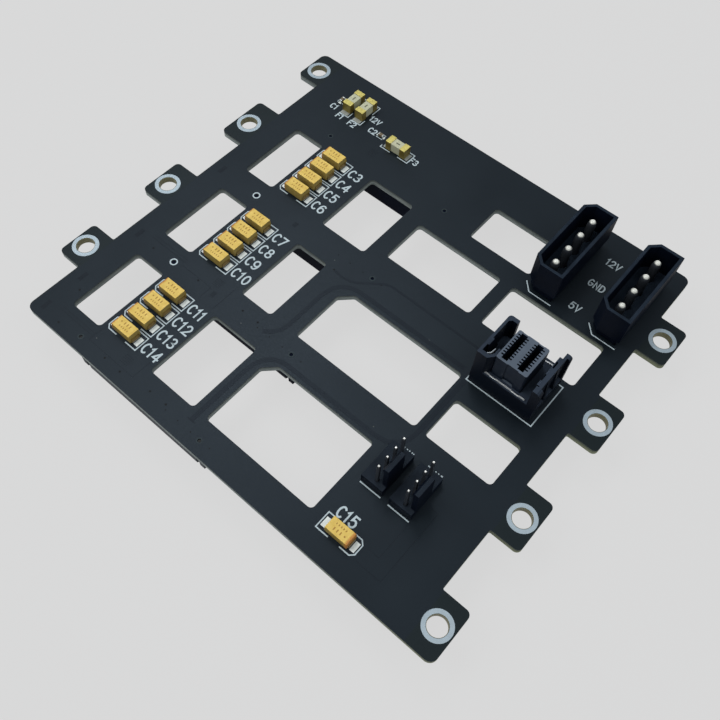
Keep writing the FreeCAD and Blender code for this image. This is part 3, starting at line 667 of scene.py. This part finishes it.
# Prints and pads of the two fuses along Y
fuse_pad_inset = 0.15
fuse_pad_cover = 0.5
near_pad_reach, far_pad_reach = 1.1, 0.6
fuse_gap = 0.35
near_line_gap, far_line_gap = 1.35, 0.9
near_line_start, near_line_rise = 0.2, 0.6
far_line_drop, far_line_end = 2.3, 0.6
for x0, y0, x1, y1 in (local("fuse_caps_1"), local("fuse_caps_2")):
    left, right = x0 + fuse_pad_inset, x1 - fuse_pad_inset
    fuse_pads.box(left, y0 - near_pad_reach, right, y0 + fuse_pad_cover)
    fuse_pads.box(left, y1 - fuse_pad_cover, right, y1 + far_pad_reach)
    line_x, near_y, far_y = x1 + fuse_gap, y0 - near_line_gap, y1 + far_line_gap
    legend.ribbon([(x0 + near_line_start, near_y), (line_x, near_y),
                   (line_x, y0 + near_line_rise)], line_width)
    legend.ribbon([(line_x, y1 - far_line_drop), (line_x, far_y),
                   (x1 - far_line_end, far_y)], line_width)

# Prints and pads of the fuse along X
end_pad_reach, end_pad_inset = 0.85, 0.2
arm_start, arm_reach, arm_turn = 1.7, 1.35, 0.7
x0, y0, x1, y1 = local("fuse_caps_3")
for side, x in ((-1, x0), (1, x1)):
    near, far = sorted((x - side * fuse_pad_cover, x + side * end_pad_reach))
    fuse_pads.box(near, y0 + end_pad_inset, far, y1 - end_pad_inset)
    corner_x = x + side * arm_reach
    for level, inward in ((y0 - fuse_gap, 1), (y1 + fuse_gap, -1)):
        legend.ribbon([(x - side * arm_start, level), (corner_x, level),
                       (corner_x, level + inward * arm_turn)], line_width)

small_label_height = 1.65
for text, x, y in (("C1", 7.8, -14.4), ("F1", 11.3, -16.1), ("F2", 15.4, -16.2),
                   ("12V", 18.9, -11.1), ("C2", 21.2, -14.5), ("F3", 36.0, -15.7)):
    write(legend, text, x, y, small_label_height, small_digit_width)

# Prints and pads of the two chips, the first along Y and the second along X
chip_pad_reach, chip_pad_cover = 0.45, 0.2
chip_line_gap, chip_line_past, chip_line_width = 0.4, 0.2, 0.2
x0, y0, x1, y1 = local("chip_ends_1")
for low, high in ((y0 - chip_pad_reach, y0 + chip_pad_cover),
                  (y1 - chip_pad_cover, y1 + chip_pad_reach)):
    pads.box(x0, low, x1, high)
for x in (x1 + chip_line_gap, x0 - chip_line_gap):
    legend.ribbon([(x, y0 - chip_line_past), (x, y1 + chip_line_past)], chip_line_width)
x0, y0, x1, y1 = local("chip_ends_2")
for left, right in ((x0 - chip_pad_reach, x0 + chip_pad_cover),
                    (x1 - chip_pad_cover, x1 + chip_pad_reach)):
    pads.box(left, y0, right, y1)
for y in (y1 + chip_line_gap, y0 - chip_line_gap):
    legend.ribbon([(x0 - chip_line_past, y), (x1 + chip_line_past, y)], chip_line_width)

# Power header corners and voltages
header_gap_x, header_gap_y = 0.1, 0.3
header_corner_x, header_corner_y = 2.0, 1.9
for index in (1, 2):
    x0, y0, x1, y1 = local(f"power_header_housing_{index}")
    for y, outward, short_of_end in ((y0, -1, 0.2), (y1, 1, 0.6)):
        line_y = y + outward * header_gap_y
        legend.ribbon([(x0 - header_gap_x, y - outward * header_corner_y),
                       (x0 + header_corner_x, line_y), (x1 - short_of_end, line_y)],
                      line_width)
volt_height = 1.88
for text, x, y in (("12V", 91.2, -9.4), ("GND", 91.2, -17.3), ("5V", 91.4, -25.7)):
    write(legend, text, x, y, volt_height, small_digit_width)

# Fan header bars and dots
fan_bar_gap, fan_bar_start, fan_bar_end = 0.45, 0.3, 0.1
dot_line, dot_radius = -77.7, 0.15
for index in (1, 2):
    x0, y0, x1, y1 = local(f"fan_header_base_{index}")
    legend.ribbon([(x0 + fan_bar_start, y0 - fan_bar_gap), (x1 - fan_bar_end, y0 - fan_bar_gap)],
                  line_width)
for x in (85.4, 86.15, 86.75, 87.4, 87.8, 91.75, 92.1, 92.85, 93.6, 94.3, 95.0, 95.2):
    legend.disc(x, dot_line, dot_radius)

# Data receptacle corners
x0, y0, x1, y1 = local("data_socket_housing")
left, right, low = x0 - 0.3, x1 + 1.0, y0 - 0.2
legend.ribbon([(left, y0 + 0.8), (left, low), (right, low), (right, y1), (x1 - 0.1, y1)],
              line_width)

legend.piece("board_legend", ink, "solder_mask")
pads.piece("surface_pads", solder, "tinned_strap")
fuse_pads.piece("fuse_pads", dull_tin, "tinned_strap")

# Faint marks on the capacitors: three bars, five short bars below them and a dot
case_top = node_box("capacitor_case_1")[1].z
resin_marks = Flat(case_top - sink, case_top + mark_height)
bar_places, bar_start, bar_stop, bar_width = (-0.45, 0.35, 1.15), 0.15, 0.85, 0.26
short_places, short_start, short_stop, short_width = (-1.0, -0.4, 0.2, 0.8, 1.4), -0.8, -0.4, 0.22
mark_dot_x, mark_dot_y, mark_dot_radius = -1.45, 0.45, 0.2
dot_sides = 8
for index, x, y, way in capacitors():
    for places, start, stop, width in ((bar_places, bar_start, bar_stop, bar_width),
                                       (short_places, short_start, short_stop, short_width)):
        for place in places:
            bar_x = x + way * place
            resin_marks.ribbon([(bar_x, y + way * start), (bar_x, y + way * stop)], width,
                               cap=0)
    resin_marks.disc(x + way * mark_dot_x, y + way * mark_dot_y, mark_dot_radius, dot_sides)
resin_marks.piece("capacitor_marks", resin_mark, "capacitor_resin")

# A dash across each fuse
fuse_top = node_box("fuse_body_1")[1].z
fuse_marks = Flat(fuse_top - sink, fuse_top + mark_height)
dash_half_length, dash_half_width = 0.6, 0.17
for index, half_x, half_y in ((1, dash_half_width, dash_half_length),
                              (2, dash_half_width, dash_half_length),
                              (3, dash_half_length, dash_half_width)):
    x0, y0, x1, y1 = local(f"fuse_body_{index}")
    x, y = (x0 + x1) / 2, (y0 + y1) / 2
    fuse_marks.box(x - half_x, y - half_y, x + half_x, y + half_y)
fuse_marks.piece("fuse_marks", fuse_mark, "fuse_ceramic")

# Copper that shows through the lacquer: runs of two or three strands, each on a faint band
traces = on_face(trace_height)
bands = on_face(band_height)
lower_run = [(48.2, -102.3), (48.2, -86.6), (48.5, -84.2), (49.3, -82.2), (50.8, -80.7),
             (52.7, -79.9), (54.6, -79.7), (79.0, -79.7), (81.6, -79.3), (83.7, -78.0),
             (84.9, -76.1), (85.35, -74.0), (85.35, -57.5)]
middle_run = [(44.3, -76.8), (45.6, -75.8), (46.7, -74.2), (47.25, -72.2), (47.25, -60.6),
              (47.9, -58.0), (49.3, -56.1), (51.2, -55.0), (53.4, -54.6), (83.2, -54.6)]
upper_run = [(45.2, -54.0), (47.4, -54.2), (49.5, -53.8), (51.0, -53.1), (56.1, -49.1),
             (57.8, -48.5), (83.2, -48.5)]
three_strands, two_strands = (-0.42, 0, 0.42), (-0.17, 0.17)
strand_width = 0.14
band_margins = 0.3
for run, strands in ((lower_run, three_strands), (middle_run, three_strands),
                     (upper_run, two_strands)):
    bands.ribbon(run, 2 * strands[-1] + band_margins)
    for shift in strands:
        traces.ribbon(beside(run, shift), strand_width)
traces.ribbon([(47.2, -102.5), (49.2, -102.5)], 0.3)

fine_line = 0.13
for path in ([(17.3, -100.2), (17.3, -103.8), (31.5, -103.8), (31.5, -98.9)],
             [(6.1, -102.0), (17.2, -102.0)], [(6.1, -102.8), (17.2, -102.8)],
             [(17.5, -76.5), (27.0, -76.5), (27.0, -79.6)], [(31.5, -73.4), (31.5, -80.2)],
             [(6.4, -74.7), (17.4, -74.7)], [(6.4, -75.5), (17.4, -75.5)],
             [(97.6, -84.4), (99.4, -84.4), (99.4, -102.1), (93.2, -102.1)],
             [(96.3, -89.2), (96.3, -98.8), (93.6, -98.8)]):
    traces.ribbon(path, fine_line)

# Lacquered pads, and fields of five by five vias
pad_half_x = 0.55
for half_y, places in ((1.3, ((3.0, -49.4), (3.0, -76.75), (3.0, -93.8), (3.0, -104.2))),
                       (0.75, ((28.75, -50.1), (28.75, -77.4)))):
    for x, y in places:
        traces.box(x - pad_half_x, y - half_y, x + pad_half_x, y + half_y)
field_count, field_step_x, field_step_y, field_via_radius = 5, 0.48, 0.5, 0.15
for column in range(field_count):
    for row in range(field_count):
        for x, y in ((26.4, -100.8), (26.45, -73.5), (26.4, -18.6)):
            traces.disc(x + field_step_x * column, y - field_step_y * row, field_via_radius,
                        dot_sides)
traces.piece("lacquered_traces", trace_lacquer, "solder_mask")
bands.piece("lacquered_bands", band_lacquer, "solder_mask")

vias = on_face(mark_height)
small_via_radius, via_radius = 0.16, 0.26
for y in (-49.9, -77.1, -104.4):
    for x in (42.5, 46.2, 50.1, 55.7):
        vias.disc(x, y, small_via_radius)
for x, y in ((8.8, -77.6), (23.4, -77.0), (44.6, -53.8), (36.9, -76.1), (41.6, -76.1),
             (5.4, -96.75), (8.75, -105.4), (23.4, -104.6), (28.4, -104.7), (36.8, -103.6),
             (41.6, -103.5)):
    vias.disc(x, y, via_radius)
vias.piece("filled_vias", via_dark, "solder_mask")

specks = on_face(mark_height)
speck_radius = 0.1
for x, y in ((42.9, -51.7), (39.0, -78.75), (18.2, -102.5), (73.2, -54.1), (77.6, -78.4)):
    specks.disc(x, y, speck_radius, dot_sides)
specks.piece("test_points", speck_tin, "tinned_strap")

# Rims of the peg holes on each drive row; two on the left are printed white
rims = on_face(rim_height)
white_rims = on_face(ink_height)
peg_left, peg_right = 15.325, 52.875
rim_inner, rim_outer = 0.42, 0.72
white_inner, white_outer = 0.66, 0.98
rim_sides = 32
for y, printed in ((-22.4, False), (-49.78, True), (-77.16, True), (-104.54, False)):
    rims.ring(peg_right, y, rim_inner, rim_outer, rim_sides)
    if printed:
        white_rims.ring(peg_left, y, white_inner, white_outer, rim_sides)
    else:
        rims.ring(peg_left, y, rim_inner, rim_outer, rim_sides)
rims.piece("peg_hole_rims", hole_rim, "solder_mask")
white_rims.piece("printed_hole_rims", ink, "solder_mask")


# Solder under the pins

def add_joint(points, faces, x, y, profile, sides=20):
    """A turned shape hanging below the board, from its rim to its closed end."""
    start = len(points)
    for radius, depth in profile:
        points.extend((px, py, back - depth) for px, py in oval(x, y, radius, radius, sides))
    for level in range(len(profile) - 1):
        for i in range(sides):
            j = (i + 1) % sides
            lower, upper = start + level * sides, start + (level + 1) * sides
            faces.append([upper + i, upper + j, lower + j, lower + i])
    faces.append([start + i for i in range(sides)])
    last = start + (len(profile) - 1) * sides
    faces.append([last + i for i in reversed(range(sides))])


# Radius and depth below the board, from the rim down
power_joint = [(1.75, -sink), (1.7, 0.05), (1.3, 0.18), (0.98, 0.5), (0.84, 0.9), (0.74, 1.02)]
fan_joint = [(1.05, -sink), (1.0, 0.05), (0.78, 0.16), (0.6, 0.45), (0.52, 0.8), (0.44, 0.92)]
pin_count = 4
points, faces = [], []
for name, profile, pin_width, pitch in (("power_header_pins", power_joint, 2.1, 5.08),
                                        ("fan_header_pins", fan_joint, 0.64, 2.54)):
    for index in (1, 2):
        low, high = node_box(f"{name}_{index}")
        for pin in range(pin_count):
            add_joint(points, faces, (low.x + high.x) / 2,
                      low.y + pin_width / 2 + pin * pitch, profile)
make_piece("pin_solder", points, faces, solder, smooth=True)

# Pads under the feet of the drive receptacles' contacts
touch_depth = 0.05
least_gap = 0.35
foot_side, foot_heel, foot_toe = 0.08, 0.05, 0.5


def feet(node):
    """Plan boxes where a node stands on the board's underside, from the field's corner."""
    touching = [node.matrix_world @ v.co / MM for v in node.data.vertices]
    touching = sorted((v for v in touching if v.z > back - touch_depth), key=lambda v: v.x)
    groups = [[touching[0]]]
    for v in touching[1:]:
        if v.x - groups[-1][-1].x > least_gap:
            groups.append([])
        groups[-1].append(v)
    for group in groups:
        xs, ys = [v.x - left_edge for v in group], [v.y - top_edge for v in group]
        yield min(xs), min(ys), max(xs), max(ys)


foot_pads = Flat(back - plating_height, back + sink)
for index in (1, 2, 3, 4):
    for x0, y0, x1, y1 in feet(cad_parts[f"drive_socket_contacts_{index}"]):
        foot_pads.box(x0 - foot_side, y0 - foot_heel, x1 + foot_side, y1 + foot_toe)
foot_pads.piece("contact_pads_back", solder, "tinned_strap")

# Plated rings round the fixing holes, on both faces, and the plated walls of the holes
fixing_holes = [(-3.55, y) for y in (-6.1, -33.38, -61.86, -87.69)]
fixing_holes += [(112.45, y) for y in (-19.2, -46.33, -74.06, -101.24)]
ring_inner, ring_outer = 2.24, 3.17
wall_inner, wall_outer = 2.13, 2.21
for name, low, high, inner, outer, material in (
        ("fixing_rings", face - sink, face + plating_height, ring_inner, ring_outer, ring_plate),
        ("fixing_rings_back", back - plating_height, back + sink, ring_inner, ring_outer,
         ring_plate),
        ("fixing_hole_walls", back, face, wall_inner, wall_outer, bore_plate)):
    rings = Flat(low, high)
    for x, y in fixing_holes:
        rings.ring(x, y, inner, outer)
    rings.piece(name, material, "tinned_strap")


# Lamps

def lamp(name, offset, size, energy, colour):
    """A round lamp at an offset in metres from the board's middle, and aimed at it."""
    light = bpy.data.lights.new(name, "AREA")
    light.shape = "DISK"
    light.size = size
    light.energy = energy
    light.color = colour
    holder = bpy.data.objects.new(name, light)
    holder.location = (cad_box[0] + cad_box[1]) / 2 + Vector(offset)
    holder.rotation_mode = "QUATERNION"
    holder.rotation_quaternion = (-Vector(offset)).to_track_quat("-Z", "Y")
    bpy.context.scene.collection.objects.link(holder)


lamp("key_light", (-0.45, -0.35, 0.75), size=0.7, energy=3.7, colour=(1.0, 1.0, 0.99))
lamp("sheen_light", (-0.313, 0.236, 0.7), size=0.3, energy=1.1, colour=(0.94, 0.97, 1.0))
lamp("side_light", (0.6, 0.15, 0.8), size=0.8, energy=1.9, colour=(0.96, 0.98, 1.0))


# The room and the floor, both of which the camera sees as one plain pale tone

def blend_shaders(tree, factor, first, second, output_kind):
    """Two shader outputs, blended by a factor output, as what the tree puts out."""
    blend = tree.nodes.new("ShaderNodeMixShader")
    output = tree.nodes.new(output_kind)
    tree.links.new(factor, blend.inputs["Fac"])
    tree.links.new(first, blend.inputs[1])
    tree.links.new(second, blend.inputs[2])
    tree.links.new(blend.outputs["Shader"], output.inputs["Surface"])


def even_light(tree, kind, colour, strength):
    """A background or emission node's output."""
    node = tree.nodes.new(kind)
    node.inputs["Color"].default_value = colour
    node.inputs["Strength"].default_value = strength
    return node.outputs[0]


backdrop_tone = linear(217, 217, 217)
room_tone, room_strength = (0.9, 0.95, 1.0, 1.0), 0.42
world = bpy.data.worlds.new("studio")
bpy.context.scene.world = world
world.use_nodes = True
tree = world.node_tree
tree.nodes.clear()
rays = tree.nodes.new("ShaderNodeLightPath").outputs
blend_shaders(tree, rays["Is Camera Ray"],
              even_light(tree, "ShaderNodeBackground", room_tone, room_strength),
              even_light(tree, "ShaderNodeBackground", backdrop_tone, 1.0),
              "ShaderNodeOutputWorld")

veil_share = 0.92
floor_material = bpy.data.materials.new("pale_floor")
floor_material.use_nodes = True
tree = floor_material.node_tree
tree.nodes.clear()
paint = tree.nodes.new("ShaderNodeBsdfDiffuse")
tree.links.new(blotchy(tree, noise(tree, coordinates(tree), 3.0), backdrop_tone, 0.01),
               paint.inputs["Color"])
rays = tree.nodes.new("ShaderNodeLightPath").outputs
watched = math_node(tree, "MAXIMUM", rays["Is Camera Ray"], rays["Is Glossy Ray"])
blend_shaders(tree, math_node(tree, "MULTIPLY", watched, veil_share), paint.outputs["BSDF"],
              even_light(tree, "ShaderNodeEmission", backdrop_tone, 1.0),
              "ShaderNodeOutputMaterial")

floor_half = 3.0
floor_mesh = bpy.data.meshes.new("floor")
floor_z = cad_box[0].z - 0.1 * MM
floor_mesh.from_pydata([(-floor_half, -floor_half, floor_z), (floor_half, -floor_half, floor_z),
                        (floor_half, floor_half, floor_z), (-floor_half, floor_half, floor_z)],
                       [], [(0, 1, 2, 3)])
floor_mesh.materials.append(floor_material)
floor = bpy.data.objects.new("floor", floor_mesh)
bpy.context.scene.collection.objects.link(floor)

# The camera at the photograph's viewing angle
camera_place = Vector((0.12127, -0.08863, 0.15083))
camera_aim = Vector((0.06857, -0.02129, 0.0016))
camera_roll = math.radians(3.205)
camera_data = bpy.data.cameras.new("camera")
camera_data.sensor_width = 36.0
camera_data.lens = 39.36
camera_data.clip_start = 0.01
camera_data.clip_end = 20.0
camera = bpy.data.objects.new("camera", camera_data)
camera.location = camera_place
camera.rotation_mode = "QUATERNION"
camera.rotation_quaternion = ((camera_aim - camera_place).to_track_quat("-Z", "Y")
                              @ Quaternion((0, 0, 1), camera_roll))
bpy.context.scene.collection.objects.link(camera)
bpy.context.scene.camera = camera

bpy.context.scene.view_settings.view_transform = "Standard"
